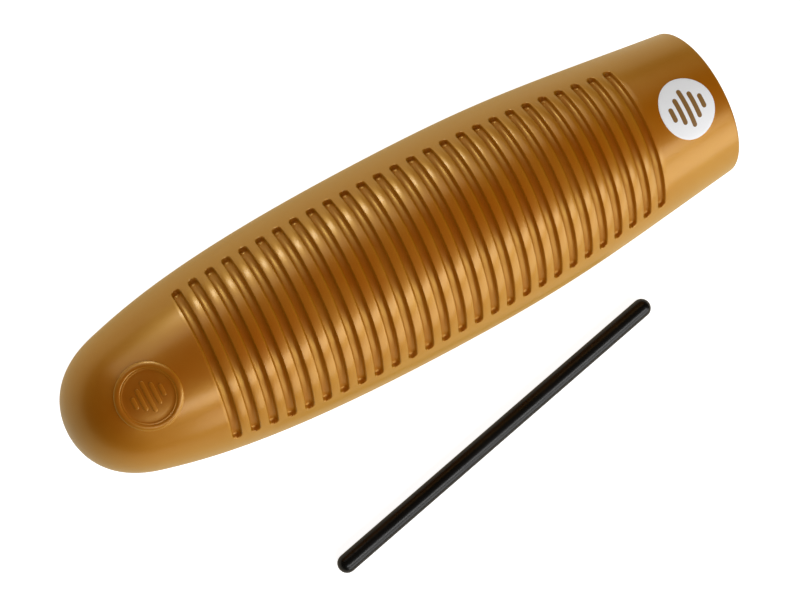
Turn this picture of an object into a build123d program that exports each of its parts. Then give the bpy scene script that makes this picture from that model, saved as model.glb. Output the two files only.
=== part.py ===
from build123d import *
import math
import os

# A guiro: a hollow, barrel-shaped rasp moulded in two half shells, and its loose scraper.
# Millimetres. The barrel lies on its side: X runs from the closed nose to the open mouth,
# +Z is the grooved side, and Z = 0 is the surface that the barrel and the scraper lie on.

# Barrel outline, measured from the nose tip and from the barrel's own axis
BODY_LENGTH = 340.5
BELLY_RADIUS = 49.0          # widest section
BELLY_AT = 189.6             # its distance from the nose tip
SHOULDER_RADIUS = 33.8       # where the blunt nose cap runs into the long flank
SHOULDER_AT = 29.2
MOUTH_RADIUS = 37.3
# Slope of the outline at the shoulder and at the mouth, in units of the mean slope
# from there to the belly
SHOULDER_STEEPNESS = 2.93
MOUTH_STEEPNESS = 1.42
# How far each end of a stretch of the outline keeps its own direction,
# as a share of that stretch's length along X (of its height for the first one)
NOSE_PULL = 0.346
CAP_PULL = 0.832
SHOULDER_PULL = 0.154
BELLY_PULL_TO_NOSE = 0.623
BELLY_PULL_TO_MOUTH = 0.378
MOUTH_PULL = 0.477

# Walls
WALL = 4.0
RIM_OUTER_ROUND = 1.5
RIM_INNER_ROUND = 0.6

# Scraped slots in the front shell
SLOT_PITCH = 8.75
FIRST_SLOT_AT = 66.0
SLOTS_END_FROM_MOUTH = 46.0  # the band of slots stops short of this
SLOT_WIDTH = 4.4
SLOT_DEPTH = 2.5
SLOT_DRAFT = 3.0             # degrees by which each wall of a slot leans outwards
SLOT_SLANT = 3.9             # degrees off square to the barrel's axis
SLOT_ROLL = 1.0              # degrees by which the band's middle lies off the crest
# Height above the barrel's axis at which the first, the middle and the last slot end
SLOT_END_HEIGHTS = (24.0, 28.6, 27.2)

# Raised ring on the nose, moulded with the front shell
EMBLEM_AT = 35.0
EMBLEM_RADIUS = 15.3
EMBLEM_BEAD = 3.0
EMBLEM_HEIGHT = 0.9

# Round label near the mouth
BADGE_FROM_MOUTH = 21.8
BADGE_RADIUS = 14.6
BADGE_THICKNESS = 0.3
BADGE_ROLL = -2.1            # degrees off the crest, as it was stuck on by hand

# Thumb and finger holes in the back shell
GRIP_HOLE_RADIUS = 13.0
GRIP_HOLE_PLACES = (122.0, 204.0)

# Bonding strip laid inside, over the seam between the shells
TAPE_WIDTH = 22.0
TAPE_THICKNESS = 1.2
TAPE_FROM_MOUTH = 9.0

# Scraper, a plain rod with round ends, lying beside the barrel
SCRAPER_LENGTH = 206.0
SCRAPER_RADIUS = 4.75
SCRAPER_MIDDLE_AT = 188.6    # from the nose tip
SCRAPER_OFF_AXIS = 100.6     # to the side of the barrel's axis
SCRAPER_YAW = 11.4           # degrees from the barrel's axis

CUT_MARGIN = 5.0             # how far a cutting shape stands clear of what it cuts
CLOSING_LINE = 135.0         # degrees from the crest to where turned surfaces close

# As many slots as the band holds at that pitch
SLOT_COUNT = 1 + int((BODY_LENGTH - SLOTS_END_FROM_MOUTH - FIRST_SLOT_AT) / SLOT_PITCH)

# The model's origin is under the middle of the whole set's bounding box
SCRAPER_HALF_CORE = SCRAPER_LENGTH / 2 - SCRAPER_RADIUS
SCRAPER_FAR_SIDE = (
    SCRAPER_OFF_AXIS
    + SCRAPER_HALF_CORE * math.sin(math.radians(SCRAPER_YAW))
    + SCRAPER_RADIUS
)
AXIS_Y = (SCRAPER_FAR_SIDE - BELLY_RADIUS) / 2
BARREL_PLACE = Pos(-BODY_LENGTH / 2, AXIS_Y, BELLY_RADIUS)

# Angles of the outline to the axis, opening at the shoulder and closing at the mouth
SHOULDER_ANGLE = math.atan(
    SHOULDER_STEEPNESS * (BELLY_RADIUS - SHOULDER_RADIUS) / (BELLY_AT - SHOULDER_AT)
)
MOUTH_ANGLE = math.atan(
    MOUTH_STEEPNESS * (BELLY_RADIUS - MOUTH_RADIUS) / (BODY_LENGTH - BELLY_AT)
)


def outline_points(inset):
    """Control points of the outline's three stretches, moved inwards by inset."""
    opening = (math.cos(SHOULDER_ANGLE), math.sin(SHOULDER_ANGLE))
    closing = (math.cos(MOUTH_ANGLE), -math.sin(MOUTH_ANGLE))
    nose = (inset, 0.0)
    shoulder = (SHOULDER_AT + inset * opening[1], SHOULDER_RADIUS - inset * opening[0])
    belly = (BELLY_AT, BELLY_RADIUS - inset)
    mouth = (BODY_LENGTH + inset * closing[1], MOUTH_RADIUS - inset * closing[0])
    cap_length = shoulder[0] - nose[0]
    flank_length = belly[0] - shoulder[0]
    tail_length = mouth[0] - belly[0]
    cap_pull = CAP_PULL * cap_length
    shoulder_pull = SHOULDER_PULL * flank_length
    mouth_pull = MOUTH_PULL * tail_length
    cap = [
        nose,
        (nose[0], NOSE_PULL * shoulder[1]),
        (shoulder[0] - cap_pull * opening[0], shoulder[1] - cap_pull * opening[1]),
        shoulder,
    ]
    flank = [
        shoulder,
        (shoulder[0] + shoulder_pull * opening[0], shoulder[1] + shoulder_pull * opening[1]),
        (belly[0] - BELLY_PULL_TO_NOSE * flank_length, belly[1]),
        belly,
    ]
    tail = [
        belly,
        (belly[0] + BELLY_PULL_TO_MOUTH * tail_length, belly[1]),
        (mouth[0] - mouth_pull * closing[0], mouth[1] - mouth_pull * closing[1]),
        mouth,
    ]
    return cap, flank, tail


def bezier_point(points, t):
    """Point at t on a cubic Bezier curve."""
    weights = ((1 - t) ** 3, 3 * t * (1 - t) ** 2, 3 * t**2 * (1 - t), t**3)
    x = sum(weight * point[0] for weight, point in zip(weights, points))
    r = sum(weight * point[1] for weight, point in zip(weights, points))
    return x, r


def outer_radius(x):
    """Barrel radius at x, found by halving the stretch of the outline that holds x."""
    for points in outline_points(0.0):
        if points[0][0] <= x <= points[-1][0]:
            low, high = 0.0, 1.0
            for _ in range(40):
                middle = (low + high) / 2
                if bezier_point(points, middle)[0] < x:
                    low = middle
                else:
                    high = middle
            return bezier_point(points, low)[1]
    return MOUTH_RADIUS


def outer_slope(x):
    """Angle in degrees by which the outline still opens at x."""
    step = 0.5
    rise = outer_radius(x + step) - outer_radius(x - step)
    return math.degrees(math.atan2(rise, 2 * step))


def barrel(inset, overrun=0.0):
    """Solid of revolution inside the outline, run on past the mouth by overrun.

    The line where its surface closes on itself lies low on one side, clear of the
    slots and of the holes.
    """
    curves = [Bezier(*[(x, 0, r) for x, r in points]) for points in outline_points(inset)]
    nose = curves[0] @ 0
    mouth = curves[-1] @ 1
    end = mouth
    if overrun > 0:
        reach = BODY_LENGTH + overrun - mouth.X
        end = mouth + Vector(reach, 0, -reach * math.tan(MOUTH_ANGLE))
        curves.append(Line(mouth, end))
    foot = Vector(end.X, 0, 0)
    curves.append(Line(end, foot))
    curves.append(Line(foot, nose))
    section = make_face(curves)
    return Rot(CLOSING_LINE, 0, 0) * revolve(section, Axis.X, revolution_arc=360)


def half_space(up):
    """Block that holds one side of the seam plane."""
    reach = 2 * BODY_LENGTH
    return Pos(0, 0, up * reach / 2) * Box(2 * reach, 2 * reach, reach)


def hollow_barrel():
    """The whole barrel wall with its rounded mouth."""
    wall = barrel(0.0) - barrel(WALL, CUT_MARGIN)
    rims = wall.edges().filter_by(GeomType.CIRCLE).group_by(Axis.X)[-1].sort_by(SortBy.RADIUS)
    wall = fillet([rims[-1]], RIM_OUTER_ROUND)
    rims = wall.edges().filter_by(GeomType.CIRCLE).group_by(Axis.X)[-1].sort_by(SortBy.RADIUS)
    return fillet([rims[0]], RIM_INNER_ROUND)


def slot_end_height(share):
    """Height of the slot ends above the axis, share of the way from first to last."""
    first, middle, last = SLOT_END_HEIGHTS
    return (
        first * (1 - share) * (1 - 2 * share)
        + middle * 4 * share * (1 - share)
        + last * share * (2 * share - 1)
    )


def slot_section(radius):
    """Drafted slot with a round bottom, SLOT_WIDTH wide at that radius, and its right half."""
    draft = math.radians(SLOT_DRAFT)
    reach = SLOT_WIDTH / 2 * math.cos(draft) - SLOT_DEPTH * math.sin(draft)
    bowl = reach / (1 - math.sin(draft))
    centre = radius - SLOT_DEPTH + bowl
    foot = (bowl * math.cos(draft), centre - bowl * math.sin(draft))
    brim = (SLOT_WIDTH / 2 + CUT_MARGIN * math.tan(draft), radius + CUT_MARGIN)
    walls = Polyline(foot, brim, (-brim[0], brim[1]), (-foot[0], foot[1]), close=True)
    section = make_face(walls) + Pos(0, centre) * Circle(bowl)
    right_side = Pos(SLOT_WIDTH, radius) * Rectangle(2 * SLOT_WIDTH, 4 * CUT_MARGIN)
    return section, section & right_side


def slot_cutter(index):
    """Groove over the crest, slanted, with a half-round end on each side."""
    x = FIRST_SLOT_AT + index * SLOT_PITCH
    radius = outer_radius(x)
    end_height = slot_end_height(index / (SLOT_COUNT - 1))
    span = math.degrees(math.acos(end_height / radius))
    section, half_section = slot_section(radius)
    upright = Plane((0, 0, 0), x_dir=(1, 0, 0), z_dir=(0, -1, 0))
    groove = revolve(upright * section, Axis.X, revolution_arc=2 * span)
    left_end = revolve(upright * half_section, Axis.Z, revolution_arc=180)
    right_end = revolve(upright * half_section, Axis.Z, revolution_arc=-180)
    cutter = Rot(-span, 0, 0) * (groove + left_end) + Rot(span, 0, 0) * right_end
    return Rot(SLOT_ROLL, 0, 0) * Pos(x, 0, 0) * Rot(0, 0, -SLOT_SLANT) * cutter


def on_crest(x, roll=0.0):
    """Place whose Z axis stands square on the barrel's surface at x."""
    radius = outer_radius(x)
    return Rot(roll, 0, 0) * Pos(x, 0, radius) * Rot(0, -outer_slope(x), 0)


def emblem_ring():
    """Raised bead that follows the nose's surface, with its foot in the wall."""
    depth = 2 * CUT_MARGIN
    tube = Cylinder(EMBLEM_RADIUS, depth) - Cylinder(EMBLEM_RADIUS - EMBLEM_BEAD, depth)
    skin = barrel(-EMBLEM_HEIGHT) - barrel(WALL / 2)
    return skin & (on_crest(EMBLEM_AT) * tube)


def front_shell():
    """Grooved half with the emblem ring."""
    cutters = [slot_cutter(index) for index in range(SLOT_COUNT)]
    return (hollow_barrel() & half_space(1)) - cutters + emblem_ring()


def back_shell():
    """Plain half with the thumb and finger holes."""
    shell = hollow_barrel() & half_space(-1)
    for x in GRIP_HOLE_PLACES:
        shell = shell - Pos(x, 0, -BELLY_RADIUS) * Cylinder(GRIP_HOLE_RADIUS, BELLY_RADIUS)
    return shell


def seam_tape():
    """Strip bonded over the seam, from the mouth round the nose and back."""
    strip = barrel(WALL) - barrel(WALL + TAPE_THICKNESS, CUT_MARGIN)
    end = BODY_LENGTH - TAPE_FROM_MOUTH
    band = Pos(end / 2, 0, 0) * Box(end, 4 * BELLY_RADIUS, TAPE_WIDTH)
    return strip & band


def badge():
    """Thin round label bent to the barrel."""
    x = BODY_LENGTH - BADGE_FROM_MOUTH
    disc = on_crest(x, BADGE_ROLL) * Cylinder(BADGE_RADIUS, 2 * CUT_MARGIN)
    return (barrel(-BADGE_THICKNESS, CUT_MARGIN) - barrel(0.0, CUT_MARGIN)) & disc


def scraper():
    """Rod with round ends, lying on the ground beside the barrel."""
    rod = Rot(0, 90, 0) * Cylinder(SCRAPER_RADIUS, 2 * SCRAPER_HALF_CORE)
    ends = [Pos(side * SCRAPER_HALF_CORE, 0, 0) * Sphere(SCRAPER_RADIUS) for side in (-1, 1)]
    place = Pos(
        SCRAPER_MIDDLE_AT - BODY_LENGTH / 2,
        AXIS_Y - SCRAPER_OFF_AXIS,
        SCRAPER_RADIUS,
    )
    return place * Rot(0, 0, SCRAPER_YAW) * (rod + ends)


def write(name, shape):
    """Export one named piece."""
    export_step(shape, f"parts/{name}.step")


os.makedirs("parts", exist_ok=True)
write("front_shell", BARREL_PLACE * front_shell())
write("back_shell", BARREL_PLACE * back_shell())
write("seam_tape", BARREL_PLACE * seam_tape())
write("badge", BARREL_PLACE * badge())
write("scraper", scraper())
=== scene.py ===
"""A moulded guiro with its loose scraper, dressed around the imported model.

The barrel is two half shells with a lacquered outside and a raw glass-fibre
inside. A Geometry Nodes tree turns the wall's section about the barrel's axis
and scrapes the slots. The emblem, the label and the scraper are mesh pieces.
"""

import logging
import math
from dataclasses import dataclass, field
from enum import Enum

import bmesh
import bpy
import numpy as np
from mathutils import Matrix, Vector


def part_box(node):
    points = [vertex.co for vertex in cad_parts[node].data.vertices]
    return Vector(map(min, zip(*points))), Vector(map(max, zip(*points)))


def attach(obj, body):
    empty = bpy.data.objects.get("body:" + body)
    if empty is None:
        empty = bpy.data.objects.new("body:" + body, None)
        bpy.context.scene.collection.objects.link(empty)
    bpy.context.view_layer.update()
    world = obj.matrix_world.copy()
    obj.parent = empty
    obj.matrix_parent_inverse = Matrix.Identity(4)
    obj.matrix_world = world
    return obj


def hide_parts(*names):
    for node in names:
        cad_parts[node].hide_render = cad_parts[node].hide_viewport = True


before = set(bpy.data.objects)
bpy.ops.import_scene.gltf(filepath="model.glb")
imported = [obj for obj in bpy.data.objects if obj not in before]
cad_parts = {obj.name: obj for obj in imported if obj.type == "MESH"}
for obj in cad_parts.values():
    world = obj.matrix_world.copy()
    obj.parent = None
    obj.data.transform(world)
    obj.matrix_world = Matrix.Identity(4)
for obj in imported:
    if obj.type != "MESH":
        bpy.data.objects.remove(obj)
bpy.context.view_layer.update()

LOG = logging.getLogger("guiro")
MM = 0.001
BARREL_BODY = "barrel"
SCRAPER_BODY = "scraper"

FLOAT = "NodeSocketFloat"
VECTOR = "NodeSocketVector"
GEOMETRY = "NodeSocketGeometry"
INTEGER = "NodeSocketInt"
MATERIAL = "NodeSocketMaterial"


# ---- Writing node trees ----


class Wire:
    """A node's output that takes part in formulas; each operator adds a Math node."""

    def __init__(self, writer: "NodeWriter", socket: bpy.types.NodeSocket) -> None:
        """Keep the socket with its tree's writer."""
        self.writer = writer
        self.socket = socket

    def __add__(self, other: object) -> "Wire":
        """Add a wire or a number."""
        return self.writer.math("ADD", self, other)

    def __sub__(self, other: object) -> "Wire":
        """Subtract a wire or a number."""
        return self.writer.math("SUBTRACT", self, other)

    def __rsub__(self, other: float) -> "Wire":
        """Subtract this from a number."""
        return self.writer.math("SUBTRACT", other, self)

    def __mul__(self, other: object) -> "Wire":
        """Multiply by a wire or a number."""
        return self.writer.math("MULTIPLY", self, other)

    def __truediv__(self, other: object) -> "Wire":
        """Divide by a wire or a number."""
        return self.writer.math("DIVIDE", self, other)

    __radd__ = __add__
    __rmul__ = __mul__


class NodeWriter:
    """Adds nodes to a tree and links them, so that a tree reads like a formula."""

    def __init__(self, tree: bpy.types.NodeTree) -> None:
        """Start writing in a tree."""
        self.tree = tree

    def feed(self, socket: bpy.types.NodeSocket, value: object) -> None:
        """Link an input to a wire, or give it a constant.

        Args:
            socket: The input to fill.
            value: A wire, or the constant.
        """
        if isinstance(value, Wire):
            self.tree.links.new(value.socket, socket)
        else:
            socket.default_value = value

    def fill(self, node: bpy.types.Node, inputs: dict) -> None:
        """Feed several inputs of a node, by name or number."""
        for name, value in inputs.items():
            self.feed(node.inputs[name], value)

    def add(self, kind: str, inputs: dict | None = None, **settings: object) -> bpy.types.Node:
        """Add a node.

        Args:
            kind: The node's class name.
            inputs: What each named or numbered input takes.
            settings: The node's own properties.

        Returns:
            The new node.
        """
        node = self.tree.nodes.new(kind)
        for name, value in settings.items():
            setattr(node, name, value)
        self.fill(node, inputs or {})
        return node

    def wires(self, node: bpy.types.Node) -> dict:
        """A node's outputs as wires, by name."""
        return {socket.name: Wire(self, socket) for socket in node.outputs}

    def out(self, output: str | int, kind: str, inputs: dict | None = None,
            **settings: object) -> Wire:
        """Add a node and take one of its outputs.

        Args:
            output: The output's name or number.
            kind: The node's class name.
            inputs: What each named or numbered input takes.
            settings: The node's own properties.

        Returns:
            That output.
        """
        return Wire(self, self.add(kind, inputs, **settings).outputs[output])

    def math(self, operation: str, *values: object, clamp: bool = False) -> Wire:
        """Add a Math node.

        Args:
            operation: What the node does.
            values: Its inputs, wires or numbers.
            clamp: Whether the result is kept between 0 and 1.

        Returns:
            The result.
        """
        inputs = dict(enumerate(values))
        return self.out(0, "ShaderNodeMath", inputs, operation=operation, use_clamp=clamp)

    def span(self, value: object, low: object, high: object, start: object, end: object,
             smooth: bool = False) -> Wire:
        """Map a value from one range to another, clamped at both ends.

        Args:
            value: The value to map.
            low: Where the range starts.
            high: Where the range ends.
            start: The result at low.
            end: The result at high.
            smooth: Whether the way between them eases in and out.

        Returns:
            The result.
        """
        easing = "SMOOTHSTEP" if smooth else "LINEAR"
        inputs = dict(enumerate((value, low, high, start, end)))
        return self.out(0, "ShaderNodeMapRange", inputs, interpolation_type=easing, clamp=True)

    def mix(self, share: object, first: object, second: object) -> Wire:
        """Mix two colours.

        Args:
            share: How much of the second colour shows.
            first: The first colour.
            second: The second colour.

        Returns:
            The mixed colour.
        """
        inputs = {0: share, 6: first, 7: second}
        return self.out(2, "ShaderNodeMix", inputs, data_type="RGBA", blend_type="MIX")

    def noise(self, place: object, scale: object, detail: float = 2.0) -> Wire:
        """Add a noise texture.

        Args:
            place: Its coordinates.
            scale: Its scale.
            detail: How many finer layers it has.

        Returns:
            The noise, from 0 to 1.
        """
        inputs = {"Vector": place, "Scale": scale, "Detail": detail}
        return self.out("Fac", "ShaderNodeTexNoise", inputs)

    def emboss(self, height: Wire, strength: float, relief: float) -> Wire:
        """Add a bump.

        Args:
            height: The surface's height, from 0 to 1.
            strength: How strongly it shows.
            relief: What a height of 1 stands for, in metres.

        Returns:
            The bumped normal.
        """
        inputs = {"Height": height, "Strength": strength, "Distance": relief}
        return self.out("Normal", "ShaderNodeBump", inputs)


def new_group(name: str, kind: str, inputs: dict, outputs: dict) -> tuple:
    """Make a node group with named sockets.

    Args:
        name: The group's name.
        kind: The tree's class name.
        inputs: Each input's socket type and its default, or None.
        outputs: Each output's socket type.

    Returns:
        The group's writer, its inputs as wires and its output node.
    """
    tree = bpy.data.node_groups.new(name, kind)
    for title, (socket_type, default) in inputs.items():
        socket = tree.interface.new_socket(title, in_out="INPUT", socket_type=socket_type)
        if default is not None:
            socket.default_value = default
    for title, socket_type in outputs.items():
        tree.interface.new_socket(title, in_out="OUTPUT", socket_type=socket_type)
    writer = NodeWriter(tree)
    return writer, writer.wires(writer.add("NodeGroupInput")), writer.add("NodeGroupOutput")


# ---- Shared shader effects ----


def fine_skin_group() -> bpy.types.NodeTree:
    """Make the group for a sprayed or moulded skin.

    Returns:
        A group that puts out the height of a fine ripple and a slow mottle.
    """
    writer, given, result = new_group(
        "Fine skin",
        "ShaderNodeTree",
        {
            "Place": (VECTOR, None),
            "Ripple Scale": (FLOAT, 700.0),
            "Grit Scale": (FLOAT, 3800.0),
            "Grit Share": (FLOAT, 0.3),
            "Mottle Scale": (FLOAT, 30.0),
        },
        {"Height": FLOAT, "Mottle": FLOAT},
    )
    ripple = writer.noise(given["Place"], given["Ripple Scale"])
    grit = writer.noise(given["Place"], given["Grit Scale"], 1.0)
    mottle = writer.noise(given["Place"], given["Mottle Scale"], 3.0)
    writer.fill(result, {
        "Height": ripple * (1.0 - given["Grit Share"]) + grit * given["Grit Share"],
        "Mottle": writer.span(mottle, 0.3, 0.7, 0.0, 1.0, True),
    })
    return writer.tree


def handling_group() -> bpy.types.NodeTree:
    """Make the group for rubbing and fine scratches.

    Returns:
        A group that puts out a mask of rubbed patches and one of thin scratches.
    """
    writer, given, result = new_group(
        "Handling wear",
        "ShaderNodeTree",
        {
            "Place": (VECTOR, None),
            "Patch Scale": (FLOAT, 45.0),
            "Scratch Scale": (FLOAT, 160.0),
            "Stretch": (VECTOR, (0.12, 1.0, 1.0)),
            "Amount": (FLOAT, 0.5),
        },
        {"Rubbed": FLOAT, "Scratches": FLOAT},
    )
    patches = writer.noise(given["Place"], given["Patch Scale"], 4.0)
    rubbed = writer.span(patches, 0.52, 0.68, 0.0, 1.0, True)
    drawn = writer.out(0, "ShaderNodeVectorMath", {0: given["Place"], 1: given["Stretch"]},
                       operation="MULTIPLY")
    hairs = writer.noise(drawn, given["Scratch Scale"], 6.0)
    thin = writer.span(writer.math("ABSOLUTE", hairs - 0.5), 0.0, 0.006, 1.0, 0.0)
    writer.fill(result, {
        "Rubbed": rubbed * given["Amount"],
        "Scratches": thin * rubbed * given["Amount"],
    })
    return writer.tree


@dataclass
class Effects:
    """The shader groups that several finishes share."""

    skin: bpy.types.NodeTree = field(default_factory=fine_skin_group)
    handling: bpy.types.NodeTree = field(default_factory=handling_group)

    def place(self, writer: NodeWriter) -> Wire:
        """Return the object coordinates in a material."""
        return writer.out("Object", "ShaderNodeTexCoord")

    def use(self, writer: NodeWriter, group: bpy.types.NodeTree, **inputs: object) -> dict:
        """Put a group in a material.

        Args:
            writer: The material's writer.
            group: The group to place.
            inputs: What its inputs take, with underscores for the spaces in their names.

        Returns:
            The group node's outputs as wires.
        """
        named = {name.replace("_", " "): value for name, value in inputs.items()}
        return writer.wires(writer.add("ShaderNodeGroup", named, node_tree=group))


# ---- Finishes ----


@dataclass(frozen=True)
class Finish:
    """What every finish has: a name, and a Principled shader that it fills."""

    name: str

    def looks(self, writer: NodeWriter, effects: Effects) -> dict:
        """Work out the finish.

        Args:
            writer: The material's writer.
            effects: The shared shader groups.

        Returns:
            What the shader's inputs take.
        """
        raise NotImplementedError

    def build(self, effects: Effects) -> bpy.types.Material:
        """Build the material.

        Args:
            effects: The shared shader groups.

        Returns:
            The material with its shader filled in.
        """
        material = bpy.data.materials.new(self.name)
        material.use_nodes = True
        writer = NodeWriter(material.node_tree)
        writer.fill(material.node_tree.nodes["Principled BSDF"], self.looks(writer, effects))
        return material


@dataclass(frozen=True)
class Lacquer(Finish):
    """Satin metallic lacquer sprayed over the moulded shells, with painted shade that darkens it in
    the slots and a painted sheen that lightens it where the surface turns from the camera.
    """

    # Painted sheen: face_on is the colour facing the camera, edge_on_sheen the lighter, yellower
    # colour towards grazing angles, standing in for the gold flakes' reflection
    face_on: tuple = (0.4, 0.092, 0.0, 1.0)
    edge_on_sheen: tuple = (0.49, 0.27, 0.006, 1.0)
    pale: tuple = (0.54, 0.28, 0.03, 1.0)
    # Painted shade: the darker colour that the floors of the slots and of the emblem are painted
    # with
    slot_shade_colour: tuple = (0.26, 0.05, 0.0, 1.0)
    turning: float = 0.45
    mottle: float = 0.12
    shade: float = 0.6
    rubbing: float = 0.14
    metallic: float = 0.1
    roughness: float = 0.34
    flake_index: float = 1.92
    flake_tint: tuple = (1.0, 0.82, 0.22, 1.0)
    coat: float = 0.34
    coat_roughness: float = 0.2
    ripple: float = 0.00006

    def looks(self, writer: NodeWriter, effects: Effects) -> dict:
        """Mix the colour with a painted sheen by angle, painted shade by slot depth, and wear, and
        leave the coat off the slots.

        Args:
            writer: The material's writer.
            effects: The shared shader groups.

        Returns:
            What the shader's inputs take.
        """
        place = effects.place(writer)
        skin = effects.use(writer, effects.skin, Place=place)
        wear = effects.use(writer, effects.handling, Place=place, Amount=0.6)
        depth = writer.out("Fac", "ShaderNodeAttribute", attribute_name="slot_depth_shade")
        # Painted sheen: the colour turns lighter and yellower where the surface turns away from the
        # camera
        edge = writer.out("Facing", "ShaderNodeLayerWeight", {"Blend": self.turning})
        base = writer.mix(edge, self.face_on, self.edge_on_sheen)
        base = writer.mix(skin["Mottle"] * self.mottle, base, self.pale)
        # Painted shade: darker towards the floors of the slots and of the emblem
        base = writer.mix(depth * self.shade, base, self.slot_shade_colour)
        base = writer.mix(wear["Rubbed"] * self.rubbing, base, self.pale)
        return {
            "Base Color": base,
            "Roughness": self.roughness + skin["Mottle"] * 0.04 + wear["Scratches"] * 0.18,
            "Normal": writer.emboss(skin["Height"], 0.35, self.ripple),
            "Metallic": self.metallic,
            "IOR": self.flake_index,
            "Specular Tint": self.flake_tint,
            "Coat Weight": self.coat * writer.math("SUBTRACT", 1.0, depth, clamp=True),
            "Coat Roughness": self.coat_roughness,
        }


@dataclass(frozen=True)
class Laminate(Finish):
    """Raw glass mat and resin, as the inside of a laid-up shell shows."""

    resin: tuple = (0.24, 0.15, 0.06, 1.0)
    fibre: tuple = (0.52, 0.4, 0.22, 1.0)
    strand_turns: tuple = (0.0, 1.1, 2.2)
    strand_scale: float = 260.0
    relief: float = 0.0006

    def looks(self, writer: NodeWriter, effects: Effects) -> dict:
        """Cross three runs of strands in the resin.

        Args:
            writer: The material's writer.
            effects: The shared shader groups.

        Returns:
            What the shader's inputs take.
        """
        place = effects.place(writer)
        skin = effects.use(writer, effects.skin, Place=place, Mottle_Scale=60.0)
        strands = None
        for turn in self.strand_turns:
            drawn = writer.out(0, "ShaderNodeMapping", {
                "Vector": place, "Rotation": (turn, 0.4 * turn, turn), "Scale": (0.12, 1.0, 1.0),
            })
            run = writer.span(writer.noise(drawn, self.strand_scale, 3.0), 0.5, 0.62, 0.0, 1.0, True)
            strands = writer.math("MAXIMUM", strands, run) if strands else run
        base = writer.mix(strands, self.resin, self.fibre)
        return {
            "Base Color": writer.mix(skin["Mottle"] * 0.3, base, self.resin),
            "Roughness": writer.span(strands, 0.0, 1.0, 0.35, 0.6),
            "Normal": writer.emboss(strands, 0.7, self.relief),
        }


@dataclass(frozen=True)
class WovenTape(Finish):
    """Woven glass tape wetted out with resin."""

    warp: tuple = (0.55, 0.45, 0.27, 1.0)
    weft: tuple = (0.38, 0.28, 0.13, 1.0)
    threads_per_metre: float = 420.0
    relief: float = 0.0004

    def looks(self, writer: NodeWriter, effects: Effects) -> dict:
        """Lay a plain weave along and across the barrel.

        Args:
            writer: The material's writer.
            effects: The shared shader groups.

        Returns:
            What the shader's inputs take.
        """
        place = effects.place(writer)
        skin = effects.use(writer, effects.skin, Place=place, Mottle_Scale=80.0)
        axes = writer.wires(writer.add("ShaderNodeSeparateXYZ", {0: place}))
        turns = 2.0 * math.pi * self.threads_per_metre
        along, across = (writer.math("SINE", axes[axis] * turns) for axis in "XZ")
        weave = writer.span(along * across, -1.0, 1.0, 0.0, 1.0)
        base = writer.mix(weave, self.weft, self.warp)
        return {
            "Base Color": writer.mix(skin["Mottle"] * 0.35, base, self.weft),
            "Roughness": writer.span(weave, 0.0, 1.0, 0.5, 0.35),
            "Normal": writer.emboss(weave, 0.6, self.relief),
        }


@dataclass(frozen=True)
class PlainSkin(Finish):
    """A plain moulded, printed or dipped skin in one colour, slightly uneven."""

    colour: tuple = (0.8, 0.8, 0.8, 1.0)
    second: tuple = (0.7, 0.7, 0.7, 1.0)
    roughness: float = 0.4
    specular: float = 0.5
    ripple_scale: float = 900.0
    relief: float = 0.00003

    def looks(self, writer: NodeWriter, effects: Effects) -> dict:
        """Give the skin a fine ripple and a few scratches.

        Args:
            writer: The material's writer.
            effects: The shared shader groups.

        Returns:
            What the shader's inputs take.
        """
        place = effects.place(writer)
        skin = effects.use(writer, effects.skin, Place=place, Ripple_Scale=self.ripple_scale)
        wear = effects.use(writer, effects.handling, Place=place, Amount=0.7)
        base = writer.mix(skin["Mottle"] * 0.5, self.colour, self.second)
        return {
            "Base Color": writer.mix(wear["Scratches"] * 0.3, base, self.second),
            "Roughness": self.roughness + (wear["Scratches"] * 0.15 + wear["Rubbed"] * 0.05),
            "Normal": writer.emboss(skin["Height"], 0.3, self.relief),
            "Specular IOR Level": self.specular,
        }


@dataclass(frozen=True)
class PaleFloor(Finish):
    """A floor that the camera sees as glowing white, and that lights the object less."""

    shades: tuple = ((0.5, 0.5, 0.5, 1.0), (0.52, 0.52, 0.52, 1.0))
    seen: tuple = (1.0, 1.0, 1.0, 1.0)
    bounce: tuple = (0.34, 0.27, 0.16, 1.0)
    glow: float = 0.95

    def looks(self, writer: NodeWriter, effects: Effects) -> dict:
        """Split the glow between what the camera sees and what the object gets.

        Args:
            writer: The material's writer.
            effects: The shared shader groups.

        Returns:
            What the shader's inputs take.
        """
        by_camera = writer.out("Is Camera Ray", "ShaderNodeLightPath")
        return {
            "Base Color": writer.mix(writer.noise(effects.place(writer), 3.0), *self.shades),
            "Roughness": 0.9,
            "Specular IOR Level": 0.1,
            "Emission Color": writer.mix(by_camera, self.bounce, self.seen),
            "Emission Strength": self.glow,
        }


class Slot(Enum):
    """Material slot names for the pieces made here; no piece is given them in this script."""

    LACQUER = "gold_lacquer"
    LABEL = "white_label"
    ROD = "black_rod"


@dataclass
class Finishes:
    """Every material, built once."""

    effects: Effects = field(default_factory=Effects)

    def __post_init__(self) -> None:
        """Build the materials from their finishes."""
        effects = self.effects
        self.lacquer = Lacquer("satin_gold_lacquer").build(effects)
        self.laminate = Laminate("raw_laminate").build(effects)
        self.tape = WovenTape("woven_tape").build(effects)
        self.floor = PaleFloor("floor_white").build(effects)
        self.label = PlainSkin(
            "label_vinyl",
            colour=(0.93, 0.94, 0.97, 1.0),
            second=(0.88, 0.89, 0.93, 1.0),
            roughness=0.45,
        ).build(effects)
        self.ink = PlainSkin(
            "label_ink",
            colour=(0.25, 0.125, 0.03, 1.0),
            second=(0.2, 0.095, 0.022, 1.0),
            roughness=0.5,
        ).build(effects)
        self.rod = PlainSkin(
            "rod_black",
            colour=(0.003, 0.003, 0.003, 1.0),
            second=(0.006, 0.006, 0.006, 1.0),
            roughness=0.27,
            specular=0.32,
        ).build(effects)


# ---- The barrel's form ----


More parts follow.
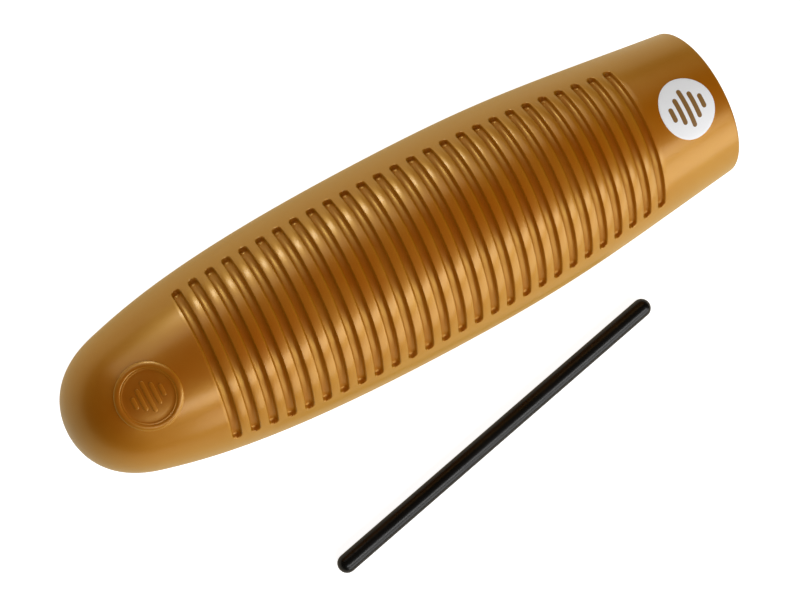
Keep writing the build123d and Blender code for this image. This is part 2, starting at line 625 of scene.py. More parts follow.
@dataclass
class BarrelForm:
    """The barrel's outline and where it stands in the frame."""

    shoulder_at: float = 29.2 * MM
    shoulder_radius: float = 33.8 * MM
    belly_at: float = 189.6 * MM
    mouth_radius: float = 37.3 * MM
    shoulder_steepness: float = 2.93
    mouth_steepness: float = 1.42
    nose_pull: float = 0.346
    cap_pull: float = 0.832
    shoulder_pull: float = 0.154
    belly_pull_to_nose: float = 0.623
    belly_pull_to_mouth: float = 0.378
    mouth_pull: float = 0.477
    wall: float = 4.0 * MM
    table_steps: int = 400
    slope_step: float = 0.4 * MM
    bend_step: float = 3.0 * MM

    def __post_init__(self) -> None:
        """Take the overall sizes and the place from the frame, and tabulate the outline."""
        low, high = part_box("back_shell")
        self.length = high.x - low.x
        self.belly_radius = (high.y - low.y) / 2
        self.origin = np.array((low.x, (low.y + high.y) / 2, low.z + self.belly_radius))
        self.table = np.vstack(self.stretches(0.0, self.table_steps))

    def stretches(self, inset: float, steps: int) -> list[np.ndarray]:
        """Points along the outline's three Bezier stretches.

        Args:
            inset: How far inside the outer skin the outline lies.
            steps: The number of steps on each stretch.

        Returns:
            For each stretch, rows of distance from the nose and radius.
        """
        flank = self.belly_at - self.shoulder_at
        tail = self.length - self.belly_at
        shoulder_rise = self.belly_radius - self.shoulder_radius
        mouth_fall = self.belly_radius - self.mouth_radius
        opening = math.atan(self.shoulder_steepness * shoulder_rise / flank)
        closing = -math.atan(self.mouth_steepness * mouth_fall / tail)
        out = np.array((math.cos(opening), math.sin(opening)))
        back = np.array((math.cos(closing), math.sin(closing)))
        nose = np.array((inset, 0.0))
        shoulder = np.array((self.shoulder_at, self.shoulder_radius))
        shoulder = shoulder + inset * np.array((out[1], -out[0]))
        belly = np.array((self.belly_at, self.belly_radius - inset))
        mouth = np.array((self.length, self.mouth_radius))
        mouth = mouth + inset * np.array((back[1], -back[0]))
        cap_run = shoulder[0] - nose[0]
        flank_run = belly[0] - shoulder[0]
        tail_run = mouth[0] - belly[0]
        controls = (
            (nose, nose + (0.0, self.nose_pull * shoulder[1]),
             shoulder - self.cap_pull * cap_run * out, shoulder),
            (shoulder, shoulder + self.shoulder_pull * flank_run * out,
             belly - (self.belly_pull_to_nose * flank_run, 0.0), belly),
            (belly, belly + (self.belly_pull_to_mouth * tail_run, 0.0),
             mouth - self.mouth_pull * tail_run * back, mouth),
        )
        t = np.linspace(0.0, 1.0, steps + 1)[:, None]
        weights = ((1 - t) ** 3, 3 * t * (1 - t) ** 2, 3 * t**2 * (1 - t), t**3)
        return [sum(w * np.asarray(p) for w, p in zip(weights, row)) for row in controls]

    def radius(self, x: np.ndarray) -> np.ndarray:
        """Outer radius at each distance from the nose."""
        return np.interp(x, self.table[:, 0], self.table[:, 1])

    def slope(self, x: np.ndarray) -> np.ndarray:
        """How fast the outer radius grows at each distance from the nose."""
        step = self.slope_step
        return (self.radius(x + step) - self.radius(x - step)) / (2 * step)

    def bend(self, x: np.ndarray) -> np.ndarray:
        """How fast that slope itself changes."""
        step = self.bend_step
        return (self.slope(x + step) - self.slope(x - step)) / (2 * step)

    def placed(self, points: np.ndarray) -> np.ndarray:
        """Move points from the nose tip and the barrel's axis to the frame."""
        return points + self.origin


@dataclass
class SkinPatch:
    """Flat drawing coordinates wrapped on the barrel's crest, at one place."""

    form: BarrelForm
    at: float
    roll: float = 0.0
    halvings: int = 34
    reach_in: float = 25.0 * MM
    reach_out: float = 8.0 * MM

    def wrap(self, u: np.ndarray, v: np.ndarray, lift: np.ndarray) -> np.ndarray:
        """Wrap drawing points on the skin.

        Args:
            u: Distances along the barrel, towards the mouth.
            v: Distances across it.
            lift: Heights above the skin.

        Returns:
            Points in the frame.
        """
        u, v, lift = np.broadcast_arrays(u, v, lift)
        pitch = math.atan(float(self.form.slope(np.array(self.at))))
        along = np.array((math.cos(pitch), 0.0, math.sin(pitch)))
        up = np.array((-math.sin(pitch), 0.0, math.cos(pitch)))
        centre = np.array((self.at, 0.0, float(self.form.radius(np.array(self.at)))))
        sheet = centre + u[..., None] * along + v[..., None] * np.array((0.0, 1.0, 0.0))
        low = np.full(u.shape, -self.reach_in)
        high = np.full(u.shape, self.reach_out)
        for _ in range(self.halvings):
            middle = (low + high) / 2
            point = sheet + middle[..., None] * up
            outside = np.hypot(point[..., 1], point[..., 2]) > self.form.radius(point[..., 0])
            high = np.where(outside, middle, high)
            low = np.where(outside, low, middle)
        point = sheet + low[..., None] * up
        radius = np.hypot(point[..., 1], point[..., 2])
        normal = np.stack(
            (-self.form.slope(point[..., 0]), point[..., 1] / radius, point[..., 2] / radius), -1
        )
        normal /= np.linalg.norm(normal, axis=-1, keepdims=True)
        point = point + lift[..., None] * normal
        turn = np.array(Matrix.Rotation(self.roll, 3, "X"))
        return self.form.placed(point @ turn.T)


# ---- Mesh helpers ----


def new_piece(name: str, points: np.ndarray, faces: list, material: bpy.types.Material,
              sharp: float = 50.0) -> bpy.types.Object:
    """Make a closed, smooth mesh piece at the origin.

    Args:
        name: The piece's name.
        points: Its vertices in the frame.
        faces: Its faces as tuples of vertex numbers.
        material: Its material.
        sharp: Edges that turn more degrees than this are drawn sharp.

    Returns:
        The new object.
    """
    mesh = bpy.data.meshes.new(name)
    mesh.from_pydata([tuple(p) for p in points], [], faces)
    mesh.materials.append(material)
    piece = bpy.data.objects.new(name, mesh)
    bpy.context.scene.collection.objects.link(piece)
    close_up(mesh, sharp)
    return piece


def close_up(mesh: bpy.types.Mesh, sharp: float, merge: float = 0.002 * MM) -> None:
    """Merge doubles, point the faces outwards and set the shading.

    Args:
        mesh: The mesh to finish.
        sharp: Edges that turn more degrees than this are drawn sharp.
        merge: Vertices closer than this are one.
    """
    work = bmesh.new()
    work.from_mesh(mesh)
    bmesh.ops.remove_doubles(work, verts=work.verts, dist=merge)
    bmesh.ops.dissolve_degenerate(work, edges=work.edges, dist=merge)
    bmesh.ops.recalc_face_normals(work, faces=work.faces)
    work.to_mesh(mesh)
    work.free()
    mesh.shade_smooth()
    mesh.set_sharp_from_angle(angle=math.radians(sharp))


def grid_faces(rows: int, columns: int, closed: bool) -> list:
    """Faces of a grid of vertices.

    Args:
        rows: The number of rows.
        columns: The number of vertices in a row.
        closed: Whether each row closes on itself.

    Returns:
        Faces as tuples of vertex numbers.
    """
    faces = []
    for row in range(rows - 1):
        for column in range(columns if closed else columns - 1):
            after = (column + 1) % columns
            faces.append((row * columns + column, row * columns + after,
                          (row + 1) * columns + after, (row + 1) * columns + column))
    return faces


def hand_over(piece: bpy.types.Object, body: str, node: str | None = None) -> None:
    """Give a piece to its body, and hide the CAD node that it replaces, if any.

    Args:
        piece: The piece.
        body: The body it rides on.
        node: The CAD node that it replaces.
    """
    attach(piece, body)
    if node:
        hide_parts(node)
    LOG.info("%s: %d faces", piece.name, len(piece.data.polygons))


def lathe_patch(name: str, patch: SkinPatch, section: list, material: bpy.types.Material,
                segments: int = 112) -> bpy.types.Object:
    """Turn a section about a patch's middle, so that it follows the skin.

    Args:
        name: The piece's name.
        patch: Where it lies.
        section: Points of radius and lift, from the middle of the face round to the
            middle of the foot.
        material: Its material.
        segments: The number of steps round.

    Returns:
        The new piece.
    """
    turns = np.linspace(0.0, 2 * math.pi, segments, endpoint=False)
    section = np.array(section)
    radius, lift = section[:, :1], section[:, 1:]
    points = patch.wrap(radius * np.cos(turns), radius * np.sin(turns), lift)
    faces = grid_faces(len(section), segments, True)
    return new_piece(name, points.reshape(-1, 3), faces, material)


def capsule(core: float, half: float, end_steps: int, steps: int) -> list:
    """One side of the outline of a bar with round ends.

    Args:
        core: Half the length of its straight part.
        half: Half its width.
        end_steps: The number of points on each round end.
        steps: The number of points along its straight part.

    Returns:
        Points of place and reach, from one end of the bar to the other.
    """
    turns = np.linspace(0.0, math.pi / 2, end_steps)
    start = [(-core - half * math.cos(turn), half * math.sin(turn)) for turn in turns]
    middle = [(place, half) for place in np.linspace(-core, core, steps)[1:-1]]
    stop = [(core + half * math.sin(turn), half * math.cos(turn)) for turn in turns]
    return start + middle + stop


def rounded_bar(patch: SkinPatch, u: float, length: float, width: float, low: float, high: float,
                soft: float, end_steps: int = 9, steps: int = 20) -> tuple:
    """A bar with round ends across the barrel, wrapped on the skin.

    Args:
        patch: Where it lies.
        u: The bar's place along the barrel.
        length: Its length across the barrel.
        width: Its width.
        low: The lift of its foot.
        high: The lift of its face.
        soft: How far its edge is rounded.
        end_steps: The number of sections in each round end.
        steps: The number of sections along its straight part.

    Returns:
        Its vertices and faces.
    """
    rows = []
    for place, reach in capsule((length - width) / 2, width / 2, end_steps, steps):
        flat = max(reach - soft, 0.0)
        shoulder = (flat + 0.3 * (reach - flat), high - 0.3 * soft)
        outline = ((reach, low), (reach, high - soft), shoulder, (flat * 0.8, high), (0.0, high))
        rows.append([(-w, place, h) for w, h in outline]
                    + [(w, place, h) for w, h in outline[-2::-1]])
    rows = np.array(rows)
    points = patch.wrap(u + rows[..., 0], rows[..., 1], rows[..., 2])
    return points.reshape(-1, 3), grid_faces(*rows.shape[:2], True)


# ---- Shells ----


@dataclass
class Slots:
    """The scraped slots of the front shell."""

    pitch: float = 8.75 * MM
    first_at: float = 66.0 * MM
    end_from_mouth: float = 46.0 * MM
    width: float = 4.4 * MM
    depth: float = 2.5 * MM
    lip: float = 0.35 * MM
    slant: float = math.radians(3.9)
    settle: float = 24.0 * MM
    end_heights: tuple = (24.0 * MM, 28.6 * MM, 27.2 * MM)
    roll: float = math.radians(1.0)

    def count(self, form: BarrelForm) -> int:
        """How many slots the band holds."""
        return 1 + int((form.length - self.end_from_mouth - self.first_at) / self.pitch)

    def last_at(self, form: BarrelForm) -> float:
        """Distance of the last slot from the nose."""
        return self.first_at + (self.count(form) - 1) * self.pitch

    def end_angle(self, form: BarrelForm, x: np.ndarray) -> np.ndarray:
        """Angle from the crest at which a slot at x ends.

        Args:
            form: The barrel.
            x: Distances from the nose.

        Returns:
            Angles in radians, held outside the band of slots.
        """
        last_at = self.last_at(form)
        x = np.clip(x, self.first_at, last_at)
        share = (x - self.first_at) / (last_at - self.first_at)
        first, middle, last = self.end_heights
        height = (first * (1 - share) * (1 - 2 * share) + middle * 4 * share * (1 - share)
                  + last * share * (2 * share - 1))
        return np.arccos(height / form.radius(x))

    def lean(self, form: BarrelForm, x: np.ndarray) -> np.ndarray:
        """How far stations at x follow the slots' slant.

        Args:
            form: The barrel.
            x: Distances from the nose.

        Returns:
            1 in the band of slots, falling to 0 on either side of it.
        """
        margin = self.pitch / 2
        past = np.maximum(self.first_at - margin - x, x - self.last_at(form) - margin)
        share = np.clip(1.0 - past / self.settle, 0.0, 1.0)
        return share * share * (3.0 - 2.0 * share)


# What the section carries at each station, in the order in which the tree reads it
STATION_VALUES = ("slot_end", "slotted", "inside", "lean", "slope", "bend")
# Shares of the way from the crest to the seam between which the steps are close together
DENSE_FROM, DENSE_TO = 0.44, 0.82
LEAST_RADIUS = 0.03      # keeps the close steps narrow where the nose closes
BOWL_POWER = 2.6         # 2 would make the slot's floor an ellipse; more is flatter
WALL_SHARE = 0.28        # the part of a slot's depth that is steep wall


def shell_tree() -> bpy.types.NodeTree:
    """Make the tree that turns a wall's section into half a shell and scrapes its slots.

    Returns:
        The tree. Its input mesh is the section, one vertex per station.
    """
    writer, given, result = new_group(
        "Half shell",
        "GeometryNodeTree",
        {
            "Section": (GEOMETRY, None),
            "Turn": (FLOAT, 0.0),
            "Angle Steps": (INTEGER, 90),
            "Slot Count": (INTEGER, 0),
            "First Slot": (FLOAT, 0.0),
            "Slot Pitch": (FLOAT, 0.01),
            "Slot Slant": (FLOAT, 0.0),
            "Slot Roll": (FLOAT, 0.0),
            "Slot Half Width": (FLOAT, 0.002),
            "Slot Lip": (FLOAT, 0.0004),
            "Slot Depth": (FLOAT, 0.0),
            "End Margin": (FLOAT, 0.003),
            "Outside": (MATERIAL, None),
            "Inside": (MATERIAL, None),
        },
        {"Shell": GEOMETRY},
    )
    section, steps = given["Section"], given["Angle Steps"]
    stations = writer.out("Point Count", "GeometryNodeAttributeDomainSize", {0: section},
                          component="MESH")
    grid = writer.out("Mesh", "GeometryNodeMeshGrid", {"Vertices X": stations, "Vertices Y": steps})
    index = writer.out(0, "GeometryNodeInputIndex")
    station = writer.math("FLOOR", (index + 0.5) / steps)
    step = index - station * steps

    def at_station(kind: str, value: Wire) -> Wire:
        """Read a value of the section at this station."""
        inputs = {0: section, "Value": value, "Index": station}
        return writer.out(0, "GeometryNodeSampleIndex", inputs, data_type=kind, domain="POINT")

    def named(name: str) -> Wire:
        """Read a named attribute."""
        return writer.out(0, "GeometryNodeInputNamedAttribute", {"Name": name}, data_type="FLOAT")

    place = at_station("FLOAT_VECTOR", writer.out(0, "GeometryNodeInputPosition"))
    axes = writer.wires(writer.add("ShaderNodeSeparateXYZ", {0: place}))
    x, radius = axes["X"], axes["Y"]
    end_angle, slotted, inside, lean, slope, bend = (
        at_station("FLOAT", named(name)) for name in STATION_VALUES)

    # The angle from the crest: the steps are closer together where the slots end.
    signed = step / (steps - 1.0) * 2.0 - 1.0
    spread = writer.math("ABSOLUTE", signed)
    margin = given["End Margin"] / writer.math("MAXIMUM", radius, LEAST_RADIUS)
    dense_from, dense_to = end_angle - margin, end_angle + margin
    angle = (writer.span(spread, 0.0, DENSE_FROM, 0.0, dense_from)
             + writer.span(spread, DENSE_FROM, DENSE_TO, 0.0, dense_to - dense_from)
             + writer.span(spread, DENSE_TO, 1.0, 0.0, math.pi / 2 - dense_to))
    swept = angle * writer.math("SIGN", signed)

    # How far this point is from the middle line of the nearest slot.
    offset = x - given["First Slot"]
    nearest = writer.math("MINIMUM", writer.math("ROUND", offset / given["Slot Pitch"]),
                          given["Slot Count"] - 1.0)
    along = offset - writer.math("MAXIMUM", 0.0, nearest) * given["Slot Pitch"]
    rolled = writer.math("ABSOLUTE", swept + given["Slot Roll"])
    past = writer.math("MAXIMUM", rolled - end_angle, 0.0) * radius
    away = writer.math("SQRT", writer.math("POWER", writer.math("ABSOLUTE", along), 2.0)
                       + writer.math("POWER", past, 2.0))

    # The slot's section: a bowl between steep walls with an eased lip.
    half, lip = given["Slot Half Width"], given["Slot Lip"]
    across_bowl = writer.math("MINIMUM", away / half, 1.0)
    bowl = writer.math("SQRT", 1.0 - writer.math("POWER", across_bowl, BOWL_POWER))
    eased = writer.span((away - (half - lip)) / (lip * 2.0), 0.0, 1.0, 1.0, 0.0, smooth=True)
    scraped = writer.math("MULTIPLY_ADD", bowl, 1.0 - WALL_SHARE, WALL_SHARE) * eased * slotted

    # The slant shifts the point along the barrel, and the radius follows the outline there.
    square_at_seam = writer.span(spread, DENSE_TO, 1.0, 1.0, 0.0, smooth=True)
    slant = given["Slot Slant"] * square_at_seam * lean
    shift = radius * writer.math("SINE", swept) * slant
    growth = shift * writer.math("MULTIPLY_ADD", bend * 0.5, shift, slope)
    turned = swept + given["Turn"]
    cut = radius + growth - scraped * given["Slot Depth"]
    wrapped = writer.out(0, "ShaderNodeCombineXYZ", {
        "X": x + shift,
        "Y": cut * writer.math("SINE", turned),
        "Z": cut * writer.math("COSINE", turned),
    })
    # The scraped share is stored for the lacquer, which paints shade into the slots with it
    skin = grid
    for name, value in (("slot_depth_shade", scraped), ("inside", inside)):
        inputs = {"Geometry": skin, "Name": name, "Value": value}
        skin = writer.out(0, "GeometryNodeStoreNamedAttribute", inputs,
                          data_type="FLOAT", domain="POINT")
    skin = writer.out(0, "GeometryNodeSetPosition", {"Geometry": skin, "Position": wrapped})

    path = writer.out(0, "GeometryNodeMeshToCurve", {0: section})
    path = writer.out(0, "GeometryNodeSetSplineCyclic", {"Geometry": path, "Cyclic": True})
    cap = writer.out(0, "GeometryNodeFillCurve", {0: path})
    mirrored = writer.out(0, "GeometryNodeTransform", {"Geometry": cap, "Scale": (1.0, -1.0, 1.0)})
    join = writer.add("GeometryNodeJoinGeometry")
    for part in (mirrored, cap, skin):
        writer.feed(join.inputs[0], part)
    joined = Wire(writer, join.outputs[0])
    shell = writer.out(0, "GeometryNodeRealizeInstances", {"Geometry": joined})
    chosen = writer.out(0, "FunctionNodeCompare", {0: named("inside"), 1: 0.5},
                        data_type="FLOAT", operation="GREATER_THAN")
    outside = {"Geometry": shell, "Material": given["Outside"]}
    shell = writer.out(0, "GeometryNodeSetMaterial", outside)
    lining = {"Geometry": shell, "Selection": chosen, "Material": given["Inside"]}
    writer.feed(result.inputs["Shell"], writer.out(0, "GeometryNodeSetMaterial", lining))
    return writer.tree


def run_tree(name: str, tree: bpy.types.NodeTree, mesh: bpy.types.Mesh,
             inputs: dict) -> bpy.types.Object:
    """Run a Geometry Nodes tree on a mesh and keep the plain result.

    Args:
        name: The piece's name.
        tree: The tree.
        mesh: What the tree takes as its geometry.
        inputs: Its other inputs, by name.

    Returns:
        A new object with a plain mesh and no modifier.
    """
    carrier = bpy.data.objects.new(name + "_section", mesh)
    bpy.context.scene.collection.objects.link(carrier)
    modifier = carrier.modifiers.new("Shell", "NODES")
    modifier.node_group = tree
    for item in tree.interface.items_tree:
        if item.item_type == "SOCKET" and item.in_out == "INPUT" and item.name in inputs:
            modifier[item.identifier] = inputs[item.name]
    depsgraph = bpy.context.evaluated_depsgraph_get()
    made = bpy.data.meshes.new_from_object(carrier.evaluated_get(depsgraph))
    carrier.modifiers.clear()
    bpy.data.objects.remove(carrier)
    made.name = name
    piece = bpy.data.objects.new(name, made)
    bpy.context.scene.collection.objects.link(piece)
    return piece


@dataclass
class Barrel:
    """The two lacquered half shells and the tape over their seam."""

    form: BarrelForm
    finishes: Finishes
    slots: Slots = field(default_factory=Slots)
    rim_outer: float = 1.5 * MM
    rim_inner: float = 0.6 * MM
    rim_steps: int = 7
    cap_steps: int = 30
    flank_step: float = 2.2 * MM
    plain_steps: int = 90
    bowl_shares: tuple = (0.0, 0.3, 0.52, 0.68, 0.8)
    wall_steps: int = 7
    inner_steps: int = 22
    front_steps: int = 118
    back_steps: int = 72
    sharp: float = 55.0
    grip_holes: tuple = (122.0 * MM, 204.0 * MM)
    grip_radius: float = 13.0 * MM
    grip_round: float = 1.3 * MM
    grip_segments: int = 96
    cutter_reach: float = 2 * MM

    def outer_stations(self, dense: bool) -> np.ndarray:
        """Distances from the nose of the stations on the outside.

        Args:
            dense: Whether each slot gets stations across its walls.

        Returns:
            The distances, up to where the rim's rounding starts.
        """
        spread = np.linspace(0.0, 1.0, self.cap_steps) ** 2 * self.form.shoulder_at
        end = self.form.length - self.rim_outer
        if not dense:
            rest = np.linspace(self.form.shoulder_at, end, self.plain_steps)[1:]
            return np.concatenate((spread, rest))
        slots = self.slots
        centres = slots.first_at + slots.pitch * np.arange(slots.count(self.form))
        bowl = np.array(self.bowl_shares) * slots.width / 2
        wall = slots.width / 2 + slots.lip * np.linspace(-1.0, 1.0, self.wall_steps)
        side = np.concatenate((bowl, wall))
        side = np.concatenate((-side[:0:-1], side))
        band = (centres[:, None] + side).ravel()
        lands = centres[:-1] + slots.pitch / 2
        start, stop = band.min(), band.max()
        before = np.arange(self.form.shoulder_at + self.flank_step, start - MM, self.flank_step)
        after = np.arange(stop + self.flank_step, end - MM, self.flank_step)
        return np.sort(np.concatenate((spread, before, band, lands, after, [end])))

    def section(self, name: str, dense: bool) -> bpy.types.Mesh:
        """The wall's section as a line of vertices, from the nose out and back inside.

        Args:
            name: The mesh's name.
            dense: Whether it carries slots.

        Returns:
            A mesh in the XY plane with the stations' attributes.
        """
        form = self.form
        x = self.outer_stations(dense)
        outer = np.stack((x, form.radius(x)), -1)
        outer[0, 1] = 0.0
        inner = np.vstack(form.stretches(form.wall, self.inner_steps))[::-1]
        quarter = np.linspace(0.0, math.pi / 2, self.rim_steps)
        top = form.radius(np.array(form.length - self.rim_outer))
        outer_rim = np.stack((
            form.length - self.rim_outer + self.rim_outer * np.sin(quarter),
            top - self.rim_outer + self.rim_outer * np.cos(quarter)), -1)[1:]
        bottom = form.mouth_radius - form.wall
        inner_rim = np.stack((
            form.length - self.rim_inner + self.rim_inner * np.cos(quarter),
            bottom + self.rim_inner - self.rim_inner * np.sin(quarter)), -1)
        inner = inner[inner[:, 0] < form.length - self.rim_inner - MM]
        line = np.vstack((outer, outer_rim, inner_rim, inner))
        mesh = bpy.data.meshes.new(name)
        count = len(line)
        edges = [(i, i + 1) for i in range(count - 1)]
        mesh.from_pydata([(px, py, 0.0) for px, py in line], edges, [])
        is_outer = np.arange(count) < len(outer)
        is_inner = np.arange(count) >= count - len(inner)
        slotted = is_outer * float(dense)
        at = line[:, 0]
        values = (self.slots.end_angle(form, at), slotted, is_inner * 1.0,
                  slotted * self.slots.lean(form, at), form.slope(at), form.bend(at))
        for title, data in zip(STATION_VALUES, values):
            layer = mesh.attributes.new(title, "FLOAT", "POINT")
            layer.data.foreach_set("value", data.astype(np.float32))
        return mesh

    def shell(self, name: str, tree: bpy.types.NodeTree, dense: bool, steps: int,
              turn: float) -> bpy.types.Object:
        """Make one half shell.

        Args:
            name: The piece's name.
            tree: The shell tree.
            dense: Whether it has slots.
            steps: The number of steps round it.
            turn: The angle of its crest from +Z.

        Returns:
            The closed shell in its place.
        """
        slots = self.slots
        piece = run_tree(name, tree, self.section(name + "_line", dense), {
            "Turn": turn,
            "Angle Steps": steps,
            "Slot Count": slots.count(self.form),
            "First Slot": slots.first_at,
            "Slot Pitch": slots.pitch,
            "Slot Slant": math.tan(slots.slant),
            "Slot Roll": slots.roll,
            "Slot Half Width": slots.width / 2,
            "Slot Lip": slots.lip,
            "Slot Depth": slots.depth if dense else 0.0,
            "End Margin": slots.width / 2 + 3 * slots.lip + slots.roll * self.form.belly_radius,
            "Outside": self.finishes.lacquer,
            "Inside": self.finishes.laminate,
        })
        piece.data.transform(Matrix.Translation(Vector(self.form.origin)))
        close_up(piece.data, self.sharp)
        return piece

    def grip_cutter(self, at: float) -> bpy.types.Object:
        """A spool that cuts one grip hole with rounded edges.

        Args:
            at: The hole's distance from the nose.

        Returns:
            The cutter, for use in a boolean.
        """
        patch = SkinPatch(self.form, at, roll=math.pi, reach_in=15.0 * MM)
        arc = np.linspace(math.radians(78.0), 0.0, 8)
        flare = self.grip_round
        rounding = [(self.grip_radius + flare * (1 - math.cos(a)), flare * (math.sin(a) - 1.0))
                    for a in arc]
        wall = self.form.wall
        profile = [(self.grip_radius + flare, self.cutter_reach)] + rounding
        profile += [(r, -wall - lift) for r, lift in rounding[::-1]]
        profile += [(self.grip_radius + flare, -wall - self.cutter_reach)]
        profile = [(0.0, self.cutter_reach)] + profile + [(0.0, -wall - self.cutter_reach)]
        return lathe_patch("grip_cutter", patch, profile, self.finishes.lacquer,
                           self.grip_segments)

    def build(self) -> None:
        """Build both shells, dress the tape and give them to their body."""
        tree = shell_tree()
        front = self.shell("lacquered_front", tree, True, self.front_steps, 0.0)
        back = self.shell("lacquered_back", tree, False, self.back_steps, math.pi)
        for at in self.grip_holes:
            cutter = self.grip_cutter(at)
            cut = back.modifiers.new("Grip hole", "BOOLEAN")
            cut.operation = "DIFFERENCE"
            cut.solver = "EXACT"
            cut.object = cutter
            depsgraph = bpy.context.evaluated_depsgraph_get()
            mesh = bpy.data.meshes.new_from_object(back.evaluated_get(depsgraph))
            back.modifiers.clear()
            back.data = mesh
            bpy.data.objects.remove(cutter)
        close_up(back.data, self.sharp)
        hand_over(front, BARREL_BODY, "front_shell")
        hand_over(back, BARREL_BODY, "back_shell")
        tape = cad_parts["seam_tape"]
        tape.data.materials.clear()
        tape.data.materials.append(self.finishes.tape)


# ---- Emblem and label ----


@dataclass
class SoundBars:
    """A plain mark of upright bars, tallest in the middle."""

    lengths: tuple = (5.6 * MM, 10.4 * MM, 14.8 * MM, 10.4 * MM, 5.6 * MM)
    width: float = 1.9 * MM
    spacing: float = 3.35 * MM
    scale: float = 1.0

    def build(self, name: str, patch: SkinPatch, low: float, high: float, soft: float,
              material: bpy.types.Material) -> bpy.types.Object:
        """Make the bars as one piece.

        Args:
            name: The piece's name.
            patch: Where the mark lies.
            low: The lift of the bars' feet.
            high: The lift of their faces.
            soft: How far their edges are rounded.
            material: Their material.

        Returns:
            The piece.
        """
        points, faces, count = [], [], 0
        middle = (len(self.lengths) - 1) / 2
        for number, length in enumerate(self.lengths):
            place = (number - middle) * self.spacing * self.scale
            bar_points, bar_faces = rounded_bar(patch, place, length * self.scale,
                                                self.width * self.scale, low, high, soft)
            points.append(bar_points)
            faces += [tuple(i + count for i in face) for face in bar_faces]
            count += len(bar_points)
        return new_piece(name, np.vstack(points), faces, material)


@dataclass
class Emblem:
    """The raised ring on the nose with a plain mark inside it."""

    form: BarrelForm
    finishes: Finishes
    at: float = 35.0 * MM
    radius: float = 15.3 * MM
    bead: float = 3.0 * MM
    height: float = 0.9 * MM
    step_width: float = 0.9 * MM
    floor_lift: float = 0.12 * MM
    # Painted shade on the ring's floor, as a share of the lacquer's slot shade
    floor_shade: float = 0.55
    foot: float = -0.6 * MM
    floor_steps: int = 9
    bead_steps: int = 13

    def section(self) -> list:
        """The emblem's section from the middle of its floor round to its foot."""
        outer, inner = self.radius, self.radius - self.bead
        middle, half = (outer + inner) / 2, self.bead / 2
        floor = [(share * (inner - self.step_width), self.floor_lift)
                 for share in np.linspace(0.0, 1.0, self.floor_steps)]
        ledge = self.floor_lift + 0.28 * MM
        step = [(inner - 0.75 * self.step_width, self.floor_lift + 0.08 * MM),
                (inner - 0.6 * self.step_width, ledge - 0.04 * MM),
                (inner - 0.45 * self.step_width, ledge), (inner - 0.15 * self.step_width, ledge)]
        bead = []
        for angle in np.linspace(math.pi, 0.0, self.bead_steps):
            crown = self.height * math.sin(angle) ** 0.8
            least = ledge if angle > 2.9 else -0.02 * MM
            bead.append((middle + half * math.cos(angle), max(crown, least)))
        return floor + step + bead + [(outer, self.foot), (0.0, self.foot)]

    def build(self) -> None:
        """Build the ring and its mark, moulded in one with the front shell."""
        patch = SkinPatch(self.form, self.at)
        lacquer = self.finishes.lacquer
        ring = lathe_patch("emblem_ring", patch, self.section(), lacquer)
        # Painted shade: the ring's floor is darkened like a slot's floor, as shade in the recess
        reach = self.radius - self.bead - 0.5 * self.step_width
        middle = Vector(patch.wrap(np.zeros(1), np.zeros(1), np.zeros(1))[0])
        shaded_floor = [self.floor_shade * ((vertex.co - middle).length < reach)
                for vertex in ring.data.vertices]
        ring.data.attributes.new("slot_depth_shade", "FLOAT", "POINT").data.foreach_set("value", shaded_floor)
        bars = SoundBars().build("emblem_mark", patch, -0.3 * MM, 0.5 * MM, 0.22 * MM, lacquer)
        for piece in (ring, bars):
            hand_over(piece, BARREL_BODY)


@dataclass
class Label:
    """The round label near the mouth, with the same plain mark printed on it."""

    form: BarrelForm
    finishes: Finishes
    from_mouth: float = 21.8 * MM
    radius: float = 14.6 * MM
    thickness: float = 0.3 * MM
    roll: float = math.radians(-2.1)
    soft: float = 0.12 * MM
    face_steps: int = 14
    foot_steps: int = 10
    mark_scale: float = 1.28
    print_lift: float = 0.025 * MM

    def build(self) -> None:
        """Build the label and its print."""
        patch = SkinPatch(self.form, self.form.length - self.from_mouth, self.roll)
        top, soft = self.thickness, self.soft
        section = [(share * (self.radius - soft), top)
                   for share in np.linspace(0.0, 1.0, self.face_steps)]
        section += [(self.radius - 0.35 * soft, top - 0.3 * soft), (self.radius, top - soft)]
        section += [(self.radius, 0.0)]
        section += [(share * self.radius, 0.0) for share in np.linspace(0.9, 0.0, self.foot_steps)]
        disc = lathe_patch("label_disc", patch, section, self.finishes.label)
        mark = SoundBars(scale=self.mark_scale).build(
            "label_print", patch, top - 0.05 * MM, top + self.print_lift, 0.01 * MM,
            self.finishes.ink)
        hand_over(disc, BARREL_BODY, "badge")
        hand_over(mark, BARREL_BODY)


# ---- Scraper ----


@dataclass
class Scraper:
    """The loose black rod, turned with round ends."""

    finishes: Finishes
    yaw: float = math.radians(11.4)
    segments: int = 72
    end_steps: int = 14
    shaft_steps: int = 24

    def build(self) -> None:
        """Build the rod where the frame has it."""
        low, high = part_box("scraper")
        radius = (high.z - low.z) / 2
        middle = (low + high) / 2
        core = ((high.x - low.x) / 2 - radius) / math.cos(self.yaw)
        section = np.array(capsule(core, radius, self.end_steps, self.shaft_steps))
        around = np.linspace(0.0, 2 * math.pi, self.segments, endpoint=False)
        points = np.stack((
            np.broadcast_to(section[:, :1], (len(section), self.segments)),
            section[:, 1:] * np.cos(around), section[:, 1:] * np.sin(around)), -1)
        place = Matrix.Translation(middle) @ Matrix.Rotation(self.yaw, 4, "Z")
        rod = new_piece("scraper_rod", points.reshape(-1, 3),
                        grid_faces(len(section), self.segments, True), self.finishes.rod)
        rod.data.transform(place)
        hand_over(rod, SCRAPER_BODY, "scraper")


# ---- Studio ----


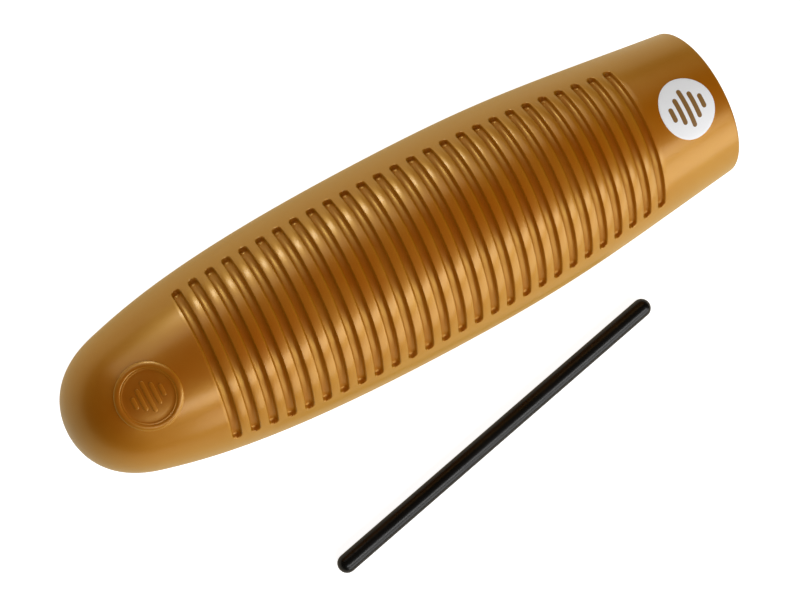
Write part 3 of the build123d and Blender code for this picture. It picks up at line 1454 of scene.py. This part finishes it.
@dataclass
class Studio:
    """Pale floor, four long soft lights and the camera above the crest."""

    form: BarrelForm
    finishes: Finishes
    floor_size: float = 6.0
    ambient: float = 0.06
    ambient_colour: tuple = (1.0, 0.8, 0.45, 1.0)
    camera_from_nose: tuple = (-77.3 * MM, 49.4 * MM, 942.6 * MM)
    roll: float = math.radians(-3.0)
    swing: float = math.radians(-14.33)
    nod: float = math.radians(-1.0)
    spin: float = math.radians(-27.91)
    lens: float = 94.2

    def floor(self) -> None:
        """Make the floor under the object."""
        mesh = bpy.data.meshes.new("floor")
        half = self.floor_size / 2
        corners = [(-half, -half, 0), (half, -half, 0), (half, half, 0), (-half, half, 0)]
        mesh.from_pydata(corners, [], [(0, 1, 2, 3)])
        ground = bpy.data.objects.new("floor", mesh)
        bpy.context.scene.collection.objects.link(ground)
        mesh.materials.append(self.finishes.floor)

    def light(self, name: str, place: tuple, size: tuple, energy: float) -> None:
        """Add one soft light that faces the barrel.

        Args:
            name: The light's name.
            place: Where it hangs, from the middle of the barrel.
            size: Its length along the barrel and its width.
            energy: Its power in watts.
        """
        data = bpy.data.lights.new(name, "AREA")
        data.shape = "RECTANGLE"
        data.size, data.size_y = size
        data.energy = energy
        lamp = bpy.data.objects.new(name, data)
        bpy.context.scene.collection.objects.link(lamp)
        middle = Vector(self.form.origin) + Vector((self.form.length / 2, 0.0, 0.0))
        back = Vector(place).normalized()
        across = Vector((1.0, 0.0, 0.0))
        across = (across - across.dot(back) * back).normalized()
        turn = Matrix((across, back.cross(across), back)).transposed().to_4x4()
        lamp.matrix_world = Matrix.Translation(middle + Vector(place)) @ turn

    def build(self) -> None:
        """Build the floor, the lights, the surroundings and the camera."""
        scene = bpy.context.scene
        self.floor()
        self.light("side_light", (0.12, -0.62, 0.76), (1.3, 0.26), 6.4)
        self.light("low_light", (0.35, -0.95, 0.34), (1.5, 0.5), 7.0)
        self.light("far_light", (0.0, 0.94, 0.32), (0.36, 0.17), 2.6)
        self.light("far_fill", (0.05, 0.85, 0.55), (1.3, 0.5), 2.6)
        world = bpy.data.worlds.new("studio")
        world.use_nodes = True
        backdrop = world.node_tree.nodes["Background"]
        backdrop.inputs["Color"].default_value = self.ambient_colour
        backdrop.inputs["Strength"].default_value = self.ambient
        scene.world = world
        scene.view_settings.view_transform = "Standard"
        data = bpy.data.cameras.new("camera")
        data.lens = self.lens
        data.clip_start, data.clip_end = 0.05, 50.0
        camera = bpy.data.objects.new("camera", data)
        scene.collection.objects.link(camera)
        nose = Vector(self.form.origin)
        turn = (Matrix.Rotation(self.roll, 4, "X") @ Matrix.Rotation(self.swing, 4, "Y")
                @ Matrix.Rotation(self.nod, 4, "X") @ Matrix.Rotation(self.spin, 4, "Z"))
        camera.matrix_world = Matrix.Translation(nose + Vector(self.camera_from_nose)) @ turn
        scene.camera = camera


def main() -> None:
    """Build every piece around the frame, then the studio."""
    logging.basicConfig(level=logging.INFO)
    finishes = Finishes()
    form = BarrelForm()
    Studio(form, finishes).build()
    Barrel(form, finishes).build()
    Emblem(form, finishes).build()
    Label(form, finishes).build()
    Scraper(finishes).build()


if __name__ == "__main__":
    main()
